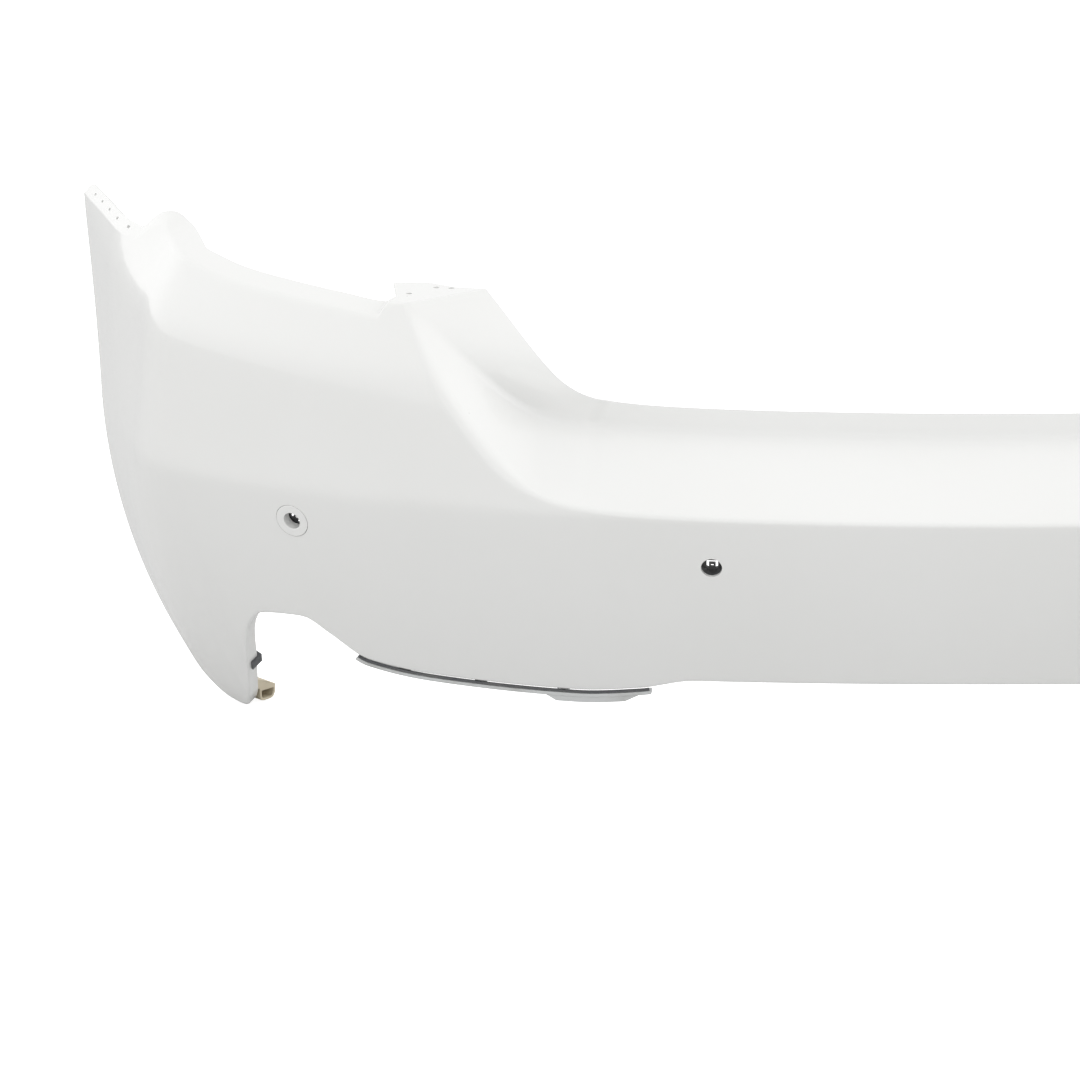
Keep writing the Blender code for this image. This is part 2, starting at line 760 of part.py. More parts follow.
frame = add("tow_flap_frame", patch(0.050, -0.043, 0.043, 0.0037, 0.0062), cover, hinge, dark_plastic)
window = add(
    "cut_frame_window",
    rounded_box(FLAP_W / 2 - 0.004, low_y + 0.004, BARREL_R + 0.0010, 0.006, 0.03, True),
    cutters,
    hinge,
)
boolean(frame, window, "DIFFERENCE")
for side in (-1, 1):
    word = "left" if side < 0 else "right"
    ear = add(f"add_ear_{word}", box((0.0044, 0.0056, 0.0052), (side * 0.0387, 0, -0.0008)), cutters, hinge)
    boolean(frame, ear, "UNION")
ear_hole = add("cut_ear_pin", along_axis(PIN_R + 0.00005, 0.05), cutters, hinge)
boolean(frame, ear_hole, "DIFFERENCE")

# ---------------------------------------------------------------- shading
for made in cover.objects:
    made.data.shade_smooth()
    made.data.set_sharp_from_angle(angle=math.radians(30))
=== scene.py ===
import functools
import math

import bmesh
import bpy
import numpy as np
from mathutils import Matrix, Vector


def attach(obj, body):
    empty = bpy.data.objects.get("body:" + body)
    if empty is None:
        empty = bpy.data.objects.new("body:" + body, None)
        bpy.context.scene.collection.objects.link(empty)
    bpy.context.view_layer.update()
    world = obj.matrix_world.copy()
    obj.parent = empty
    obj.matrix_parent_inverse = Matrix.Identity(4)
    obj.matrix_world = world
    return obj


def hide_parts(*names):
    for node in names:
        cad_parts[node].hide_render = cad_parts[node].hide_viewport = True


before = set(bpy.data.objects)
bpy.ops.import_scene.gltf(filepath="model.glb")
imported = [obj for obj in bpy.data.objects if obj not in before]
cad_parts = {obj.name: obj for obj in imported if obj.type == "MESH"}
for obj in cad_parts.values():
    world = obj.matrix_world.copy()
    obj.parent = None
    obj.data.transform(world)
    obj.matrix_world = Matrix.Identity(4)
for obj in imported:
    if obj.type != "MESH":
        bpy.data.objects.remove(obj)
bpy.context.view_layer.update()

# ---------------------------------------------------------------- cover skin
# The cover itself: one injection-moulded shell, 3 mm thick, painted white. Its face, wings, ledge,
# tailgate wall, lamp flange, seam strips and return lip are all one wall, rounded where it turns.
SHIFT = Vector((0.0, -0.2984, -0.0681))
WALL = 0.0030
CREASE_Z = 0.349
CREASE_RISE = 1.35
CREASE_KNEE = 0.440
CREASE_ROUND = 0.039
FACE_TILT = math.radians(12)
FACE_CURVE = 0.62
WING_CURVE = 1.08
SHOULDER_LEAN = 0.55
CORNER_S = 0.845
CORNER_TURN = 31.0
WING_TURN = 10.0
LEDGE_DEPTH = 0.108
FOOT_Z = 0.398
RIM_Z = 0.423
PLATE_Z = 0.527
SEAM_Z = 0.5385
TIP_Z = 0.5350
LAMP_FLANGE = 0.026
LAMP_STEP = 0.0085
SEAM_IN = 0.0090
SEAM_UP = 0.0125
SEAM_S = 0.936
WALL_STEP = 0.0030
LIP = 0.014
ARCH_Y = 0.880
ARCH_Z = 0.150
ARCH_R = 0.480
LOWER_EDGE = [
    (0.000, 0.173),
    (0.280, 0.171),
    (0.335, 0.160),
    (0.400, 0.154),
    (0.550, 0.158),
    (0.620, 0.167),
    (0.655, 0.190),
    (0.685, 0.207),
    (0.735, 0.203),
    (0.760, 0.186),
    (0.800, 0.132),
    (0.850, 0.080),
    (0.870, 0.068),
    (0.895, 0.070),
    (0.960, 0.092),
]
UPPER_EDGE = [
    (0.586, 0.527),
    (0.594, 0.515),
    (0.640, 0.5195),
    (0.700, 0.5255),
    (0.760, 0.5320),
    (0.820, 0.5425),
    (0.880, 0.5490),
    (0.920, 0.5550),
    (0.942, 0.5635),
    (0.952, 0.5600),
    (0.968, 0.5480),
    (0.980, SEAM_Z),
    (1.100, SEAM_Z),
    (1.260, TIP_Z),
    (1.400, TIP_Z),
]
STEPS = np.linspace(0.0, 1.45, 581)


def ease(t):
    t = np.clip(t, 0.0, 1.0)
    return t * t * (3.0 - 2.0 * t)


def knee(t, r):
    """Zero well before t = 0 and t well after it, with a rounded turn of size r."""
    return (t + math.sqrt(t * t + r * r)) / 2.0


@functools.lru_cache(maxsize=4096)
def plan_line(z):
    """The outline of the cover in plan at height z: x, y and heading along the left half."""
    before = np.minimum(STEPS, CORNER_S)
    after = np.maximum(STEPS - CORNER_S, 0.0)
    width = 0.30 - 0.22 * ease((z - 0.05) / 0.40)
    turn = CORNER_TURN * ease((STEPS - CORNER_S + width / 2) / width)
    heading = np.radians(20 * before + 40 * before**3 + WING_TURN * after + turn)
    gap = STEPS[1] - STEPS[0]
    dx = -np.cos(heading)
    dy = np.sin(heading)
    x = np.concatenate([[0.0], np.cumsum((dx[1:] + dx[:-1]) / 2) * gap])
    y = np.concatenate([[0.0], np.cumsum((dy[1:] + dy[:-1]) / 2) * gap])
    return x, y, heading


def inset(s, z):
    """How far the skin leans in from the outline at height z."""
    down = max(CREASE_Z - z, 0.0)
    up = max(z - CREASE_Z, 0.0)
    low = down * math.tan(FACE_TILT) + FACE_CURVE * down * down
    low += float(ease((s - 0.80) / 0.15)) * (WING_CURVE * down * down - low)
    fade = 1.0 - 0.55 * float(ease((s - 0.90) / 0.15))
    shoulder_z = 0.409 + 0.10 * s
    return low + fade * (0.08 * up + SHOULDER_LEAN * knee(z - shoulder_z, 0.012))


def skin(s, z):
    """Point of the outer skin at distance s along the rear and height z, on the left half."""
    x, y, heading = plan_line(round(z, 5))
    h = float(np.interp(s, STEPS, heading))
    d = inset(s, z)
    px = float(np.interp(s, STEPS, x)) + d * math.sin(h)
    py = float(np.interp(s, STEPS, y)) + d * math.cos(h)
    return Vector((px, py, z))


def inward(s, z):
    """The skin's normal there, pointing into the car."""
    e = 0.004
    along = skin(s + e, z) - skin(s - e, z)
    rise = skin(s, z + e) - skin(s, z - e)
    return along.cross(rise).normalized()


def crease_z(s):
    climb = knee(s - CREASE_KNEE, CREASE_ROUND) - knee(-CREASE_KNEE, CREASE_ROUND)
    return CREASE_Z + CREASE_RISE * climb


def curve(s, stations):
    """A smooth line through the stations, without overshoot."""
    xs = [p[0] for p in stations]
    ys = [p[1] for p in stations]
    slopes = [(ys[i + 1] - ys[i]) / (xs[i + 1] - xs[i]) for i in range(len(xs) - 1)]

    def tangent(i):
        if i == 0 or i == len(xs) - 1 or slopes[i - 1] * slopes[i] <= 0:
            return 0.0
        return 2 * slopes[i - 1] * slopes[i] / (slopes[i - 1] + slopes[i])

    k = min(max(int(np.searchsorted(xs, s)) - 1, 0), len(xs) - 2)
    w = xs[k + 1] - xs[k]
    t = min(max((s - xs[k]) / w, 0.0), 1.0)
    value = ys[k] * (1 + 2 * t) * (1 - t) ** 2 + ys[k + 1] * t * t * (3 - 2 * t)
    return value + w * (tangent(k) * t * (1 - t) ** 2 - tangent(k + 1) * t * t * (1 - t))


def arch_point(z):
    """Distance along the skin to the wheel arch at height z, by halving."""
    edge = ARCH_Y - math.sqrt(ARCH_R**2 - (z - ARCH_Z) ** 2)
    low, high = 0.85, 1.40
    for _ in range(22):
        middle = (low + high) / 2
        if skin(middle, z).y < edge:
            low = middle
        else:
            high = middle
    return low


ARCH_ZS = np.linspace(0.060, 0.580, 70)
ARCH_SS = [arch_point(float(z)) for z in ARCH_ZS]


def arch_s(z):
    return float(np.interp(z, ARCH_ZS, ARCH_SS))


def where_reaches(height, start, target):
    s = start
    while height(s) < target:
        s += 0.0002
    return s


FOOT_RISE, FOOT_KNEE, FOOT_ROUND = 1.2, 0.435, 0.040
RIM_RISE, RIM_KNEE, RIM_ROUND = 1.3, 0.393, 0.030


def foot_z(x):
    return FOOT_Z + FOOT_RISE * (knee(x - FOOT_KNEE, FOOT_ROUND) - knee(-FOOT_KNEE, FOOT_ROUND))


def rim_z(x):
    return RIM_Z + RIM_RISE * (knee(x - RIM_KNEE, RIM_ROUND) - knee(-RIM_KNEE, RIM_ROUND))


PEAK_S = where_reaches(crease_z, CREASE_KNEE, PLATE_Z)
FOOT_X = where_reaches(foot_z, FOOT_KNEE, PLATE_Z)
RIM_X = where_reaches(rim_z, RIM_KNEE, PLATE_Z)
PLATE_S = 0.586
FAN_S = 0.800
high_end = arch_s(TIP_Z) - FAN_S


def crease_y(x):
    plan_x, plan_y, _ = plan_line(CREASE_Z)
    return float(np.interp(x, -plan_x, plan_y))


def foot(g):
    """Foot of the tailgate wall, from the centre line at 0 to the plate at 1."""
    x = FOOT_X * g
    y = crease_y(x) + LEDGE_DEPTH - 0.050 * float(ease((x - 0.42) / 0.12))
    y -= WALL_STEP * float(ease((x - 0.366) / 0.012))
    return Vector((-x, y, PLATE_Z if g >= 1 else foot_z(x)))


def rim(g):
    """Top of the tailgate wall, along the same parameter."""
    x = FOOT_X * g - (FOOT_X - RIM_X) * float(ease((g - 0.55) / 0.45))
    y = crease_y(x) + LEDGE_DEPTH + 0.004 + 0.020 * float(ease((x - 0.38) / 0.085))
    y -= WALL_STEP * float(ease((x - 0.354) / 0.012)) * float(ease((0.98 - g) / 0.10))
    return Vector((-x, y, PLATE_Z if g >= 1 else rim_z(x)))


def turn_over(before, corner, after, count):
    """Points of a rounded turn at a corner, leaving out the first."""
    found = []
    for k in range(1, count + 1):
        t = k / count
        found.append(before * (1 - t) ** 2 + corner * 2 * t * (1 - t) + after * t * t)
    return found


def straight(a, b, count):
    return [a.lerp(b, k / count) for k in range(1, count + 1)]


LIP_ROWS, TURN_ROWS, FACE_ROWS, LEDGE_ROWS, WALL_ROWS = 3, 5, 46, 9, 6
LIP_TURN = 0.0042
FACE_START = LIP_ROWS + TURN_ROWS
FACE_END = FACE_START + FACE_ROWS
FLANGE_ROWS = 10
PLATE_ROWS = LEDGE_ROWS + TURN_ROWS + WALL_ROWS - FLANGE_ROWS


def ledge_line(g):
    """From the crease over the ledge, round the wall's foot and up to its rim."""
    s = g * PEAK_S
    edge = skin(s, crease_z(s) if g < 1 else PLATE_Z)
    low = foot(g)
    high = rim(g)
    soft = LIP_TURN + 0.0100 * float(ease((g - 0.74) / 0.10)) * float(ease((0.995 - g) / 0.10))
    out = (low - edge).normalized()
    up = (high - low).normalized()
    span = (low - edge).length
    soft = min(soft, 0.35 * span)
    bend = min(0.007 * min(1.0, (high - low).length / 0.020), 0.45 * span)
    start = edge + out * soft
    line = straight(start, low - out * bend, LEDGE_ROWS)
    line += turn_over(low - out * bend, low, low + up * bend, TURN_ROWS)
    line += straight(low + up * bend, high, WALL_ROWS)
    return edge, start, line, soft


def flange_end(s, level=1.0):
    z = curve(s, UPPER_EDGE)
    seam = float(ease((s - SEAM_S) / 0.030))
    tip = 0.30 + 0.70 * math.sqrt(max(0.0, min(1.0, (FAN_S + high_end - s) / 0.022)))
    into = inward(s, z)
    into.z = 0.0
    into.normalize()
    narrow = float(ease((s - 0.915) / 0.040))
    wide = LAMP_FLANGE * (1 - narrow) + SEAM_IN * narrow * tip
    rise = LAMP_STEP * level * (1 - seam) + SEAM_UP * seam * tip
    return skin(s, z) + into * wide + Vector((0, 0, rise))


def flange_line(s):
    """From the skin's upper edge to the end of the lamp flange or seam strip."""
    edge = skin(s, curve(s, UPPER_EDGE))
    end = flange_end(s, float(ease((s - PLATE_S) / 0.008)))
    out = (end - edge).normalized()
    soft = LIP_TURN - 0.0030 * float(ease((s - SEAM_S) / 0.030))
    start = edge + out * soft
    line = straight(start, end, FLANGE_ROWS)
    return edge, start, line + [end.copy() for _ in range(PLATE_ROWS)], soft


PLATE_BACK = [(0.0, 0.0), (-0.029, 0.007), (-0.0545, 0.026), (-0.0885, 0.026)]


def plate_line(q):
    """Across the plate, q from the end of the tailgate wall to the start of the lamp flange."""
    s = PEAK_S + (PLATE_S - PEAK_S) * q
    edge = skin(s, PLATE_Z)
    first = ledge_line(1.0)
    last = flange_line(PLATE_S)
    back = [rim(1.0) + Vector((dx, dy, 0)) for dx, dy in PLATE_BACK]
    last[2][FLANGE_ROWS:] = straight(last[2][FLANGE_ROWS - 1], back[-1], PLATE_ROWS)
    place = q * (len(back) - 1)
    k = min(int(place), len(back) - 2)
    far = back[k].lerp(back[k + 1], place - k)
    a = [first[1]] + first[2]
    c = [last[1]] + last[2]
    soft = first[3] + (last[3] - first[3]) * q
    start = edge + (a[0].lerp(c[0], q) - first[0].lerp(last[0], q))
    line = []
    for n in range(len(a)):
        v = n / (len(a) - 1)
        point = a[n].lerp(c[n], q) + (start - a[0].lerp(c[0], q)) * (1 - v) + (far - a[-1].lerp(c[-1], q)) * v
        point.z = PLATE_Z
        line.append(point)
    return edge, line[0], line[1:], soft


def face_place(s, w, z):
    """Distance along the skin for a column, which fans out towards the arch as w goes to 1."""
    return s if w == 0 else FAN_S + w * (arch_s(z) - FAN_S)


def column(s, w, top):
    """One column of the skin, from the inner edge of the lip to the end of the upper flange."""
    edge, start, upper, soft = top
    low_s = s if w == 0 else FAN_S + w * (arch_s(0.092) - FAN_S)
    low_z = curve(min(low_s, 0.960), LOWER_EDGE)
    high_z = edge.z
    turn = LIP_TURN * (1.0 - float(ease((w - 0.88) / 0.12)))
    corner = skin(face_place(s, w, low_z), low_z)
    into = inward(face_place(s, w, low_z), low_z)
    points = [corner + into * LIP]
    points += straight(corner + into * LIP, corner + into * turn, LIP_ROWS)
    first_z = low_z + turn
    last_z = high_z - soft
    first = skin(face_place(s, w, first_z), first_z)
    points += turn_over(corner + into * turn, corner, first, TURN_ROWS)
    top_s = s if w == 0 else FAN_S + w * high_end
    drift = top_s - face_place(s, w, high_z)
    for k in range(1, FACE_ROWS + 1):
        z = first_z + (last_z - first_z) * k / FACE_ROWS
        along = face_place(s, w, z) + drift * ((z - low_z) / (high_z - low_z)) ** 2
        points.append(skin(along, z))
    points += turn_over(points[-1], edge, start, TURN_ROWS)
    return points + upper


columns = []
for n in range(101):
    g = n / 100
    columns.append(column(g * PEAK_S, 0.0, ledge_line(g)))
for n in range(1, 13):
    q = n / 12
    columns.append(column(PEAK_S + (PLATE_S - PEAK_S) * q, 0.0, plate_line(q)))
PLATE_COLUMN = len(columns) - 1
for n in range(1, 5):
    s = PLATE_S + 0.002 * n
    columns.append(column(s, 0.0, flange_line(s)))
for n in range(1, 25):
    s = 0.594 + (FAN_S - 0.594) * n / 24
    columns.append(column(s, 0.0, flange_line(s)))
LAST_W = 0.9905
for n in range(1, 64):
    w = LAST_W * n / 63
    columns.append(column(FAN_S, w, flange_line(FAN_S + w * high_end)))
ARCH_COLUMN = len(columns)

# the arch edge: a rounded turn and a lip that narrows to the tip
last = columns[-1]
low_z = curve(0.960, LOWER_EDGE)
arch_low = last[FACE_START].z
arch_high = last[FACE_END].z
turned = [[] for _ in range(TURN_ROWS + LIP_ROWS)]
for j in range(len(last)):
    z = min(max(last[j].z, arch_low), arch_high)
    s = arch_s(z)
    edge = skin(s, z)
    into = inward(s, z)
    near = float(ease((z - arch_low) / 0.015)) * float(ease((arch_high - z) / 0.015))
    reach = LIP * (0.3 + 0.7 * float(ease((arch_high - z) / 0.060)))
    after = edge + into * LIP_TURN * near
    line = turn_over(last[j], edge, after, TURN_ROWS) + straight(after, edge + into * reach, LIP_ROWS)
    for k, point in enumerate(line):
        turned[k].append(point)
columns += turned

across = len(columns) - 1
along = len(columns[0]) - 1
mesh = bmesh.new()
bmesh.ops.create_grid(mesh, x_segments=across, y_segments=along, size=0.5)
place_of = {}
for vert in mesh.verts:
    i = round((vert.co.x + 0.5) * across)
    j = round((vert.co.y + 0.5) * along)
    place_of[vert] = (i, j)
    vert.co = columns[i][j] + SHIFT
    if i == 0:
        vert.co.x = 0.0
spare = []
for face in mesh.faces:
    spots = [place_of[vert] for vert in face.verts]
    past_arch = min(i for i, _ in spots) >= ARCH_COLUMN - 1
    beside_plate = min(i for i, _ in spots) == PLATE_COLUMN
    if beside_plate and min(j for _, j in spots) >= FACE_END + TURN_ROWS + FLANGE_ROWS:
        spare.append(face)
    if past_arch and (min(j for _, j in spots) < FACE_START or max(j for _, j in spots) > FACE_END):
        spare.append(face)
bmesh.ops.delete(mesh, geom=spare, context="FACES")
bmesh.ops.remove_doubles(mesh, verts=mesh.verts, dist=0.00002)
bmesh.ops.dissolve_degenerate(mesh, dist=0.00001, edges=mesh.edges)
bmesh.ops.mirror(mesh, geom=mesh.verts[:] + mesh.edges[:] + mesh.faces[:], axis="X", merge_dist=0.00002)
bmesh.ops.remove_doubles(mesh, verts=mesh.verts, dist=0.00002)
bmesh.ops.recalc_face_normals(mesh, faces=mesh.faces)
tallest = min(mesh.faces, key=lambda face: face.calc_center_median().y)
if tallest.normal.y > 0:
    bmesh.ops.reverse_faces(mesh, faces=mesh.faces)


def link(name, mesh):
    """A new object from a bmesh, at the origin."""
    data = bpy.data.meshes.new(name)
    mesh.to_mesh(data)
    mesh.free()
    made = bpy.data.objects.new(name, data)
    bpy.context.scene.collection.objects.link(made)
    return made


def smooth(piece, degrees=32):
    piece.data.shade_smooth()
    piece.data.set_sharp_from_angle(angle=math.radians(degrees))


def settle(piece):
    """Makes the modifiers' result the piece's own mesh."""
    bpy.context.view_layer.update()
    evaluated = piece.evaluated_get(bpy.context.evaluated_depsgraph_get())
    done = bpy.data.meshes.new_from_object(evaluated)
    piece.modifiers.clear()
    piece.data = done


cover = link("cover_shell", mesh)
wall = cover.modifiers.new("wall", "SOLIDIFY")
wall.thickness = WALL
wall.offset = -1.0
wall.use_even_offset = False
settle(cover)


def frame_at(s, z, side):
    """Axes on the skin: X to the right, Y up, Z out of the face. side is -1 left, +1 right."""
    point = skin(s, z)
    out = inward(s, z) * -1.0
    across = skin(s + 0.004, z) - skin(s - 0.004, z)
    if side > 0:
        point.x *= -1
        out.x *= -1
        across.x *= -1
    across = across.normalized() * side
    across = (across - out * across.dot(out)).normalized()
    up = out.cross(across).normalized()
    place = Matrix((across, up, out)).transposed().to_4x4()
    place.translation = point + SHIFT
    return place


def block(size, place, radius=0.0):
    """A box, with its corners along Z rounded."""
    mesh = bmesh.new()
    bmesh.ops.create_cube(mesh, size=1.0, matrix=Matrix.Diagonal((*size, 1.0)))
    if radius:
        corners = [e for e in mesh.edges if abs(e.verts[0].co.z - e.verts[1].co.z) > size[2] / 2]
        bmesh.ops.bevel(
            mesh, geom=corners, offset=radius, segments=4, affect="EDGES", profile=0.5, material=-1
        )
    bmesh.ops.transform(mesh, matrix=place, verts=mesh.verts)
    return mesh


def drum(radius, low, high, place, sides=96):
    mesh = bmesh.new()
    centre = Matrix.Translation((0, 0, (low + high) / 2))
    bmesh.ops.create_cone(
        mesh,
        cap_ends=True,
        segments=sides,
        radius1=radius,
        radius2=radius,
        depth=high - low,
        matrix=place @ centre,
    )
    return mesh


def cut(piece, shapes, solver="MANIFOLD"):
    """Takes shapes that don't touch one another out of a piece."""
    joined = bmesh.new()
    for shape in shapes:
        bmesh.ops.recalc_face_normals(shape, faces=shape.faces)
        part = bpy.data.meshes.new("shape")
        shape.to_mesh(part)
        shape.free()
        joined.from_mesh(part)
        bpy.data.meshes.remove(part)
    cutter = link("cutter", joined)
    modifier = piece.modifiers.new("cut", "BOOLEAN")
    modifier.operation = "DIFFERENCE"
    modifier.solver = solver
    modifier.object = cutter
    settle(piece)
    bpy.data.objects.remove(cutter)


SENSORS = {"inner": (0.264, 0.300), "outer": (0.673, 0.316)}
BORES = {"inner": 0.00975, "outer": 0.0170}
SLOT = (0.0070, 0.0028, 0.020)
FLAP_S = 0.430
FLAP_Z = 0.262
FLAP_W = 0.070
FLAP_H = 0.060
FLAP_GAP = 0.0010
AXIS_Y = FLAP_H / 2 - 0.0024
AXIS_DEPTH = 0.0031
hinge = frame_at(FLAP_S, FLAP_Z, 1) @ Matrix.Translation((0, AXIS_Y, -AXIS_DEPTH))

ACROSS = Matrix.Diagonal((-1, 1, 1, 1))
PLATE_HOLES = ((-0.072, -0.020), (-0.047, 0.005), (-0.033, 0.002))
PLATE_HOLE_R = 0.0030
FIRST_SLOT_S = 1.010
SLOT_PITCH = 0.045

shapes = []
for side in (-1, 1):
    for n in range(5):
        s = FIRST_SLOT_S + SLOT_PITCH * n
        z = curve(s, UPPER_EDGE)
        at = skin(s, z)
        ahead = (skin(s + 0.01, curve(s + 0.01, UPPER_EDGE)) - at).normalized()
        into = inward(s, z)
        into.z = 0.0
        rise = into.normalized() * SEAM_IN + Vector((0, 0, SEAM_UP))
        at = at + rise * 0.55
        rise = (rise - ahead * rise.dot(ahead)).normalized()
        place = Matrix((ahead, rise, rise.cross(ahead))).transposed().to_4x4()
        place.translation = at + SHIFT
        if side > 0:
            place = ACROSS @ place @ ACROSS
        shapes.append(block(SLOT, place, 0.0010))
    for dx, dy in PLATE_HOLES:
        at = rim(1.0) + Vector((dx, dy, 0)) + SHIFT
        at.x *= -side
        shapes.append(drum(PLATE_HOLE_R, -0.01, 0.01, Matrix.Translation(at), 32))
    for which, (s, z) in SENSORS.items():
        shapes.append(drum(BORES[which], -0.02, 0.02, frame_at(s, z, side)))
cut(cover, shapes)


def flap_shape(half_w, low, high, radius, depth):
    """Outline of the tow-eye flap through the skin, in the hinge's axes, with a square top."""
    mesh = bmesh.new()
    middle = Matrix.Translation((0, (low + high) / 2, 0))
    place = middle @ Matrix.Diagonal((2 * half_w, high - low, depth, 1.0))
    bmesh.ops.create_cube(mesh, size=1.0, matrix=place)
    corners = [e for e in mesh.edges if abs(e.verts[0].co.z - e.verts[1].co.z) > depth / 2]
    corners = [e for e in corners if e.verts[0].co.y < (low + high) / 2]
    bmesh.ops.bevel(mesh, geom=corners, offset=radius, segments=8, affect="EDGES", profile=0.5, material=-1)
    bmesh.ops.transform(mesh, matrix=hinge, verts=mesh.verts)
    return mesh


flap_low = -FLAP_H / 2 - AXIS_Y
flap_high = FLAP_H / 2 - AXIS_Y
cut(cover, [flap_shape(FLAP_W / 2 + FLAP_GAP, flap_low - FLAP_GAP, flap_high + FLAP_GAP, 0.009, 0.03)])
notches = []
for side in (-1, 1):
    notches.append(block((0.0070, 0.0066, 0.03), hinge @ Matrix.Translation((side * 0.0380, 0, 0))))
cut(cover, notches)
smooth(cover)


def new_group(name, outputs):
    """A shader node group that reads object coordinates and a scale, with the outputs named."""
    group = bpy.data.node_groups.new(name, "ShaderNodeTree")
    group.interface.new_socket("Vector", in_out="INPUT", socket_type="NodeSocketVector")
    size = group.interface.new_socket("Scale", in_out="INPUT", socket_type="NodeSocketFloat")
    size.default_value = 1.0
    for word in outputs:
        group.interface.new_socket(word, in_out="OUTPUT", socket_type="NodeSocketFloat")
    return group, group.nodes.new("NodeGroupInput"), group.nodes.new("NodeGroupOutput")


def noise(tree, vector, scale, detail=2.0):
    found = tree.nodes.new("ShaderNodeTexNoise")
    found.inputs["Scale"].default_value = scale
    found.inputs["Detail"].default_value = detail
    tree.links.new(vector, found.inputs["Vector"])
    return found.outputs["Fac"]


def step(tree, value, low, high):
    """A mask that goes from 0 to 1 as the value goes from low to high."""
    found = tree.nodes.new("ShaderNodeMapRange")
    found.inputs["From Min"].default_value = low
    found.inputs["From Max"].default_value = high
    tree.links.new(value, found.inputs["Value"])
    return found.outputs["Result"]


def spread(tree, value, low, high):
    """The mask's 0 to 1 made low to high."""
    found = tree.nodes.new("ShaderNodeMapRange")
    found.inputs["To Min"].default_value = low
    found.inputs["To Max"].default_value = high
    tree.links.new(value, found.inputs["Value"])
    return found.outputs["Result"]


def tint(tree, mask, a, b):
    """Colour a where the mask is 0 and b where it is 1; a may be another colour's output."""
    found = tree.nodes.new("ShaderNodeMix")
    found.data_type = "RGBA"
    tree.links.new(mask, found.inputs[0])
    if isinstance(a, tuple):
        found.inputs[6].default_value = (*a, 1)
    else:
        tree.links.new(a, found.inputs[6])
    found.inputs[7].default_value = (*b, 1)
    return found.outputs[2]


def material_on(name):
    """A new material, its node tree, its shader and its object coordinates."""
    found = bpy.data.materials.new(name)
    found.use_nodes = True
    tree = found.node_tree
    where = tree.nodes.new("ShaderNodeTexCoord").outputs["Object"]
    return found, tree, tree.nodes["Principled BSDF"], where


def bumped(tree, shader, height, strength, depth):
    bump = tree.nodes.new("ShaderNodeBump")
    bump.inputs["Strength"].default_value = strength
    bump.inputs["Distance"].default_value = depth
    tree.links.new(height, bump.inputs["Height"])
    tree.links.new(bump.outputs["Normal"], shader.inputs["Normal"])


def placed(tree, group, where, scale):
    node = tree.nodes.new("ShaderNodeGroup")
    node.node_tree = group
    tree.links.new(where, node.inputs["Vector"])
    node.inputs["Scale"].default_value = scale
    return node.outputs


# dust: a thin uneven film and a few separate specks, on every outside surface
dust, ins, outs = new_group("dust", ("Film", "Specks"))
scaled = dust.nodes.new("ShaderNodeVectorMath")
scaled.operation = "SCALE"
dust.links.new(ins.outputs["Vector"], scaled.inputs[0])
dust.links.new(ins.outputs["Scale"], scaled.inputs["Scale"])
dust.links.new(noise(dust, scaled.outputs[0], 3.0, 4.0), outs.inputs["Film"])
dots = dust.nodes.new("ShaderNodeTexVoronoi")
dots.inputs["Scale"].default_value = 26.0
dust.links.new(scaled.outputs[0], dots.inputs["Vector"])
near = step(dust, dots.outputs["Distance"], 0.030, 0.018)
lone = step(dust, noise(dust, scaled.outputs[0], 9.0, 0.0), 0.62, 0.66)
both = dust.nodes.new("ShaderNodeMath")
both.operation = "MULTIPLY"
dust.links.new(near, both.inputs[0])
dust.links.new(lone, both.inputs[1])
dust.links.new(both.outputs[0], outs.inputs["Specks"])

# grain: the fine leathery surface of an unpainted moulding
grain, ins, outs = new_group("grain", ("Height", "Blotch"))
scaled = grain.nodes.new("ShaderNodeVectorMath")
scaled.operation = "SCALE"
grain.links.new(ins.outputs["Vector"], scaled.inputs[0])
grain.links.new(ins.outputs["Scale"], scaled.inputs["Scale"])
cells = grain.nodes.new("ShaderNodeTexVoronoi")
cells.feature = "SMOOTH_F1"
cells.inputs["Scale"].default_value = 900.0
grain.links.new(scaled.outputs[0], cells.inputs["Vector"])
grain.links.new(cells.outputs["Distance"], outs.inputs["Height"])
grain.links.new(noise(grain, scaled.outputs[0], 60.0, 3.0), outs.inputs["Blotch"])

# white paint under clear lacquer, with faint orange peel, a haze of dust and a few specks
PAINT = (0.800, 0.802, 0.790)
PAINT_DUSTY = (0.770, 0.772, 0.755)
SPECK = (0.45, 0.44, 0.41)
white_paint, tree, shader, where = material_on("white_paint")
film = placed(tree, dust, where, 1.0)
colour = tint(tree, step(tree, film["Film"], 0.40, 0.85), PAINT, PAINT_DUSTY)
colour = tint(tree, film["Specks"], colour, SPECK)
tree.links.new(colour, shader.inputs["Base Color"])
tree.links.new(spread(tree, film["Film"], 0.14, 0.30), shader.inputs["Roughness"])
shader.inputs["Coat Weight"].default_value = 0.6
shader.inputs["Coat Roughness"].default_value = 0.06
bumped(tree, shader, noise(tree, where, 420.0), 0.05, 0.0004)

cover.data.materials.clear()
cover.data.materials.append(white_paint)
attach(cover, "cover")
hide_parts("cover_skin")


def finish(names, material):
    """Gives the carried-over pieces whose names start so their material and smooth shading."""
    for name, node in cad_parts.items():
        if name.startswith(names):
            node.material_slots[0].material = material
            node.data.shade_smooth()
            node.data.set_sharp_from_angle(angle=math.radians(32))


# ---------------------------------------------------------------- painted rings and flap
# Small mouldings in the cover's own paint: the ring round each outer sensor, and the square lid over
# the tow eye, which hangs on a pin along its upper edge.
finish(("sensor_ring", "tow_flap"), white_paint)

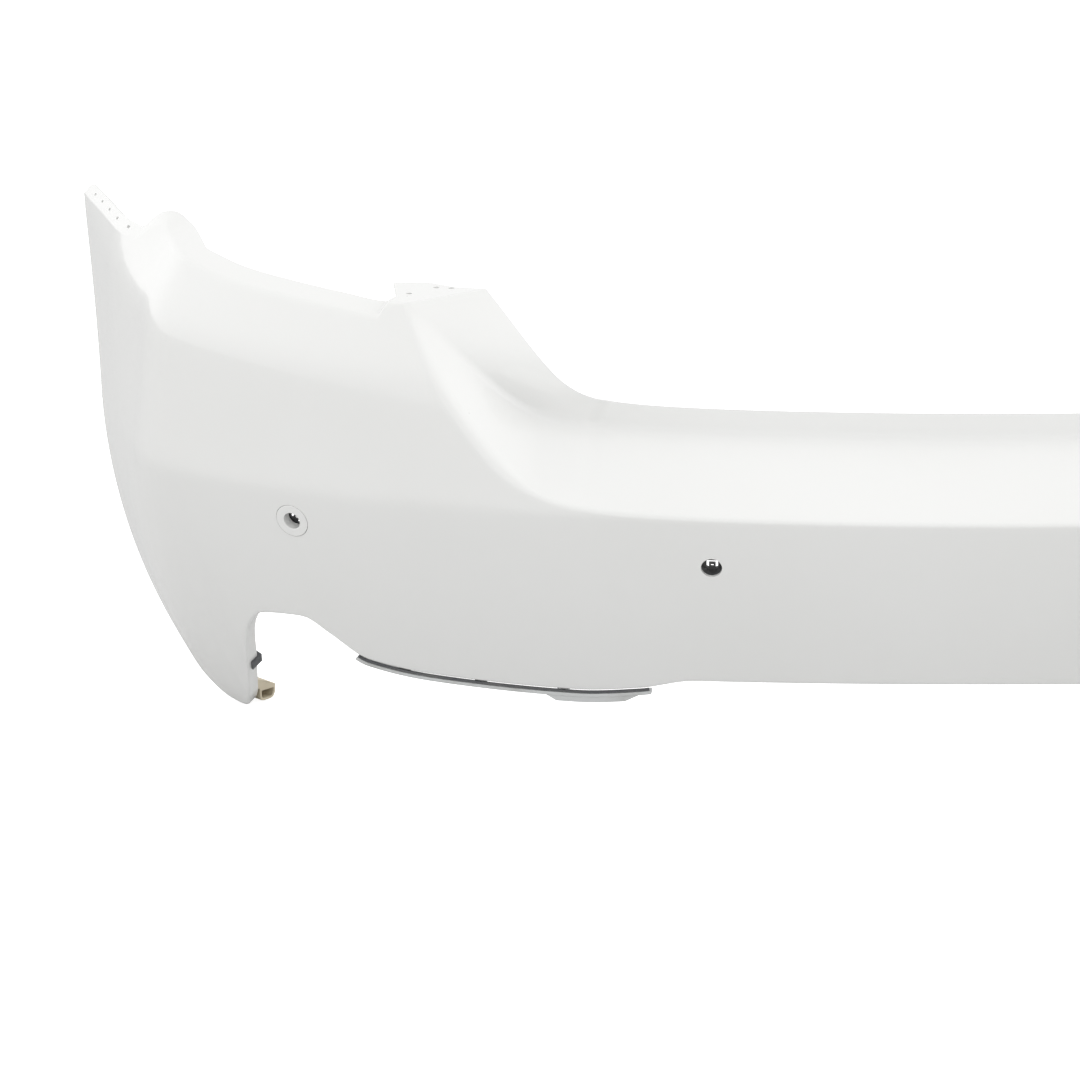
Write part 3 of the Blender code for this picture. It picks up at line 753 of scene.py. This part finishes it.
# ---------------------------------------------------------------- dark plastic pieces
# Sensor holders welded behind the holes, push-on clips along the lower edge and in the leg, and the
# frame behind the tow flap: black polypropylene with a fine moulded grain.
DARK = (0.085, 0.088, 0.094)
DARK_DUSTY = (0.160, 0.157, 0.148)
dark_plastic, tree, shader, where = material_on("dark_plastic")
moulded = placed(tree, grain, where, 1.0)
film = placed(tree, dust, where, 9.0)
colour = tint(tree, step(tree, film["Film"], 0.45, 0.80), DARK, DARK_DUSTY)
colour = tint(tree, film["Specks"], colour, (0.20, 0.19, 0.17))
tree.links.new(colour, shader.inputs["Base Color"])
tree.links.new(spread(tree, moulded["Blotch"], 0.46, 0.66), shader.inputs["Roughness"])
bumped(tree, shader, moulded["Height"], 0.25, 0.0003)
finish(("sensor_holder", "rail_clip", "leg_clip", "tow_flap_frame"), dark_plastic)

# ---------------------------------------------------------------- lower rails
# A slim grey moulding under each side of the face, clipped to the return lip; it carries a wide fixing tab
# and is a little dirty from the road. Above each rail, a thin strip of dark plastic in the gap under the
# face's lower edge is
# painted shadow: it stands for the shade in that gap, not for a real seal.
GREY = (0.560, 0.570, 0.570)
GREY_DIRTY = (0.360, 0.355, 0.335)
grey_plastic, tree, shader, where = material_on("grey_plastic")
moulded = placed(tree, grain, where, 0.8)
film = placed(tree, dust, where, 7.0)
colour = tint(tree, step(tree, film["Film"], 0.48, 0.78), GREY, GREY_DIRTY)
colour = tint(tree, film["Specks"], colour, (0.16, 0.15, 0.13))
tree.links.new(colour, shader.inputs["Base Color"])
tree.links.new(spread(tree, moulded["Blotch"], 0.34, 0.52), shader.inputs["Roughness"])
bumped(tree, shader, moulded["Height"], 0.12, 0.0003)


def under_edge(s, side, depth, drop):
    """Point below the cover's lower edge: depth in from the skin, drop below it."""
    z = curve(s, LOWER_EDGE)
    into = inward(s, z)
    into.z = 0.0
    point = skin(s, z) + into.normalized() * depth - Vector((0, 0, drop))
    return Vector((point.x * -side, point.y, point.z)) + SHIFT


def bent_bar(name, first, last, place, thick):
    """A flat bar along the lower edge; place(s, v) is the middle of its wall, v from 0 to 1 across."""
    mesh = bmesh.new()
    bmesh.ops.create_grid(mesh, x_segments=60, y_segments=3, size=0.5)
    for vert in mesh.verts:
        vert.co = place(first + (last - first) * (vert.co.x + 0.5), vert.co.y + 0.5)
    bar = link(name, mesh)
    wall = bar.modifiers.new("wall", "SOLIDIFY")
    wall.thickness = thick
    wall.offset = 0.0
    edge = bar.modifiers.new("edge", "BEVEL")
    edge.width = 0.0005
    edge.segments = 2
    edge.limit_method = "ANGLE"
    settle(bar)
    smooth(bar)
    return bar


for side, word in ((-1, "left"), (1, "right")):

    def flat(s, v):
        return under_edge(s, side, 0.0012 + 0.0108 * v, 0.0049)

    def hanging(s, v):
        slope = min(1.0, (s - 0.334) / 0.016, (0.432 - s) / 0.012)
        return under_edge(s, side, 0.0034, 0.0058 + 0.0062 * v * slope)

    # Place of the painted shadow strip: just under the face's lower edge, in the gap above the rail.
    def shadow_gap_place(s, v):
        return under_edge(s, side, 0.0012 + 0.0030 * v, 0.00145)

    rail = bent_bar(f"rail_{word}", 0.324, 0.632, flat, 0.0034)
    tab = bent_bar(f"rail_tab_{word}", 0.336, 0.431, hanging, 0.0030)
    # The dark strip is painted shadow for the gap between the face and the rail.
    shadow_strip = bent_bar(f"rail_shadow_strip_{word}", 0.326, 0.630, shadow_gap_place, 0.0023)
    for piece, look, slot in ((rail, grey_plastic, "grey_plastic"), (tab, grey_plastic, "grey_plastic"),
                              (shadow_strip, dark_plastic, "dark_plastic")):
        piece.data.materials.append(look)
        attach(piece, "cover")
        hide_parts(f"lower_rail_{word}")

# ---------------------------------------------------------------- wing brackets
# The bracket bonded inside the foot of each wing: natural, unpainted plastic, cream with brown road
# dirt in its cup and corners.
CREAM = (0.660, 0.600, 0.470)
CREAM_WORN = (0.560, 0.485, 0.350)
ROAD_DIRT = (0.170, 0.120, 0.070)
cream_plastic, tree, shader, where = material_on("cream_plastic")
moulded = placed(tree, grain, where, 0.9)
film = placed(tree, dust, where, 14.0)
colour = tint(tree, moulded["Blotch"], CREAM, CREAM_WORN)
colour = tint(tree, step(tree, film["Film"], 0.56, 0.70), colour, ROAD_DIRT)
tree.links.new(colour, shader.inputs["Base Color"])
tree.links.new(spread(tree, film["Film"], 0.35, 0.75), shader.inputs["Roughness"])
bumped(tree, shader, moulded["Height"], 0.15, 0.0003)
finish(("wing_bracket",), cream_plastic)

# ---------------------------------------------------------------- arch clips and flap pin
# Spring-steel nuts pushed on the lip of each wheel arch, and the hinge pin of the tow flap: zinc
# plated, slightly yellowed and dull in patches.
ZINC = (0.600, 0.600, 0.610)
ZINC_YELLOWED = (0.560, 0.530, 0.420)
zinc_steel, tree, shader, where = material_on("zinc_steel")
film = placed(tree, dust, where, 25.0)
shader.inputs["Metallic"].default_value = 1.0
tree.links.new(tint(tree, film["Film"], ZINC, ZINC_YELLOWED), shader.inputs["Base Color"])
tree.links.new(spread(tree, film["Film"], 0.25, 0.50), shader.inputs["Roughness"])
bumped(tree, shader, noise(tree, where, 1500.0), 0.08, 0.0002)
finish(("arch_clip", "tow_flap_pin"), zinc_steel)

# ---------------------------------------------------------------- floor, light and camera
# A plain pale floor under an even white sky, a little brighter at the sides, with a weak broad
# light overhead and another in front, so that the white paint keeps its shape on white.
FLOOR_HALF = 30.0
FLOOR_BACK = 2.0
FLOOR_DROP = 0.0005
floor_mesh = bmesh.new()
bmesh.ops.create_grid(floor_mesh, x_segments=1, y_segments=1, size=FLOOR_HALF)
floor = link("floor", floor_mesh)
floor.data.transform(Matrix.Translation((0, FLOOR_BACK, -FLOOR_DROP)))
pale = bpy.data.materials.new("pale_floor")
pale.use_nodes = True
tree = pale.node_tree
matt = tree.nodes["Principled BSDF"]
matt.inputs["Base Color"].default_value = (0.60, 0.60, 0.60, 1)
matt.inputs["Roughness"].default_value = 0.9
matt.inputs["Specular IOR Level"].default_value = 0.0
bright = tree.nodes.new("ShaderNodeEmission")
first_ray = tree.nodes.new("ShaderNodeLightPath")
glow = tree.nodes.new("ShaderNodeMath")
glow.operation = "MULTIPLY"
glow.inputs[1].default_value = 0.85
tree.links.new(first_ray.outputs["Is Camera Ray"], glow.inputs[0])
tree.links.new(glow.outputs[0], bright.inputs["Strength"])
both = tree.nodes.new("ShaderNodeAddShader")
tree.links.new(matt.outputs["BSDF"], both.inputs[0])
tree.links.new(bright.outputs["Emission"], both.inputs[1])
tree.links.new(both.outputs["Shader"], tree.nodes["Material Output"].inputs["Surface"])
floor.data.materials.append(pale)

world = bpy.data.worlds.new("studio")
bpy.context.scene.world = world
world.use_nodes = True
sky = world.node_tree
background = sky.nodes["Background"]
background.inputs["Color"].default_value = (1.0, 1.0, 1.0, 1)
direction = sky.nodes.new("ShaderNodeTexCoord")
parts = sky.nodes.new("ShaderNodeSeparateXYZ")
sky.links.new(direction.outputs["Generated"], parts.inputs["Vector"])
sideways = sky.nodes.new("ShaderNodeMath")
sideways.operation = "ABSOLUTE"
sky.links.new(parts.outputs["X"], sideways.inputs[0])
dimmer = sky.nodes.new("ShaderNodeMapRange")
dimmer.inputs["From Min"].default_value = 0.35
dimmer.inputs["From Max"].default_value = 1.0
dimmer.inputs["To Min"].default_value = 0.98
dimmer.inputs["To Max"].default_value = 1.62
sky.links.new(sideways.outputs["Value"], dimmer.inputs["Value"])
seen = sky.nodes.new("ShaderNodeLightPath")
pick = sky.nodes.new("ShaderNodeMix")
sky.links.new(seen.outputs["Is Camera Ray"], pick.inputs[0])
sky.links.new(dimmer.outputs["Result"], pick.inputs[2])
pick.inputs[3].default_value = 1.3
sky.links.new(pick.outputs[0], background.inputs["Strength"])
bpy.context.scene.view_settings.view_transform = "Standard"


def softbox(name, place, aim, size, power):
    light = bpy.data.lights.new(name, "AREA")
    light.shape = "RECTANGLE"
    light.size = size[0]
    light.size_y = size[1]
    light.energy = power
    lamp = bpy.data.objects.new(name, light)
    lamp.location = place
    lamp.rotation_euler = (Vector(aim) - Vector(place)).to_track_quat("-Z", "Y").to_euler()
    bpy.context.scene.collection.objects.link(lamp)


softbox("overhead", (0.0, 0.2, 3.4), (0, 0.2, 0), (6.0, 5.0), 4)
softbox("front_fill", (0.6, -5.0, 1.6), (0, 0, 0.2), (4.5, 3.0), 12)

lens = bpy.data.cameras.new("camera")
LENS_MM = 110
DISTANCE = 3.0
lens.lens = LENS_MM
lens.sensor_width = 36
camera = bpy.data.objects.new("camera", lens)
aim = Vector((-0.42, 0.0, 0.335)) + SHIFT
pitch = math.radians(17.5)
camera.location = aim + Vector((0, -math.cos(pitch), math.sin(pitch))) * DISTANCE
camera.rotation_euler = (math.radians(90) - pitch, 0, 0)
bpy.context.scene.collection.objects.link(camera)
bpy.context.scene.camera = camera
